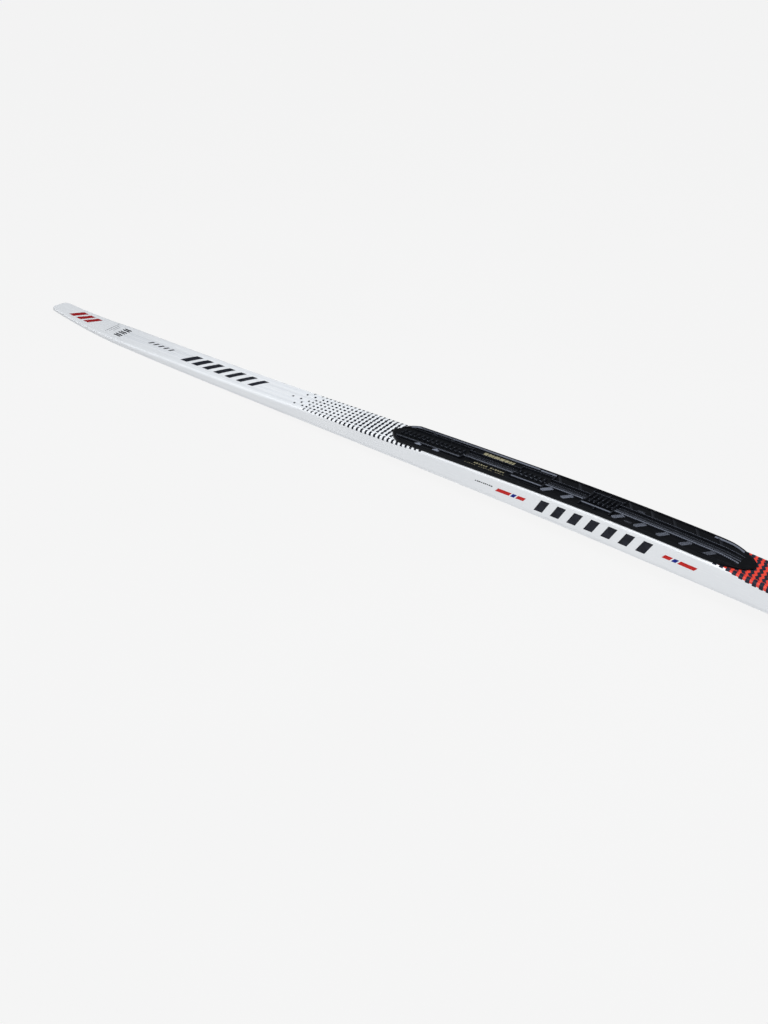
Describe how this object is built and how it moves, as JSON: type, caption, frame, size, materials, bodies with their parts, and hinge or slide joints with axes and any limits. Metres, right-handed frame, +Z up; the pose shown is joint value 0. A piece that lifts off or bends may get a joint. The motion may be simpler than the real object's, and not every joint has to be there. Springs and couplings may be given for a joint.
{
  "type": "cross country ski",
  "caption": "Long narrow cambered skate ski with an upturned pointed tip, blunt kicked tail, rounded cap shoulders and a raised moulded binding plate at its middle.",
  "frame": {"origin": "midway along the ski, on its centreline, at the level of the two contact lines that it stands on", "axes": "+X from the tail to the tip, +Y to the skier's left, +Z up from the sole to the top"},
  "size_m": [1.92, 0.044, 0.0604],
  "materials": {
    "top_lacquer": "white lacquer over the rear half, red over the front half, with a black dash halftone at the plate",
    "plate_plastic": "black moulded plastic, satin with fine tooling texture",
    "sole_plastic": "black sintered sole, stone ground",
    "edge_plastic": "light grey, planed smooth",
    "carbon_laminate": "cured carbon weave",
    "glass_laminate": "cured glass fibre",
    "core_foam": "milled rigid foam",
    "spacer_plastic": "plain moulded",
    "bond_glue": "cured glue film"
  },
  "bodies": {
    "root": {"running_base": "sole_plastic", "edge_strip_left": "edge_plastic", "edge_strip_right": "edge_plastic", "lower_laminate": "glass_laminate", "foam_core": "core_foam", "tail_filler": "spacer_plastic", "tip_filler": "spacer_plastic", "binding_reinforcement": "carbon_laminate", "torsion_cap": "carbon_laminate", "top_sheet": "top_lacquer", "plate_bond": "bond_glue", "binding_plate": "plate_plastic"}
  },
  "joints": []
}
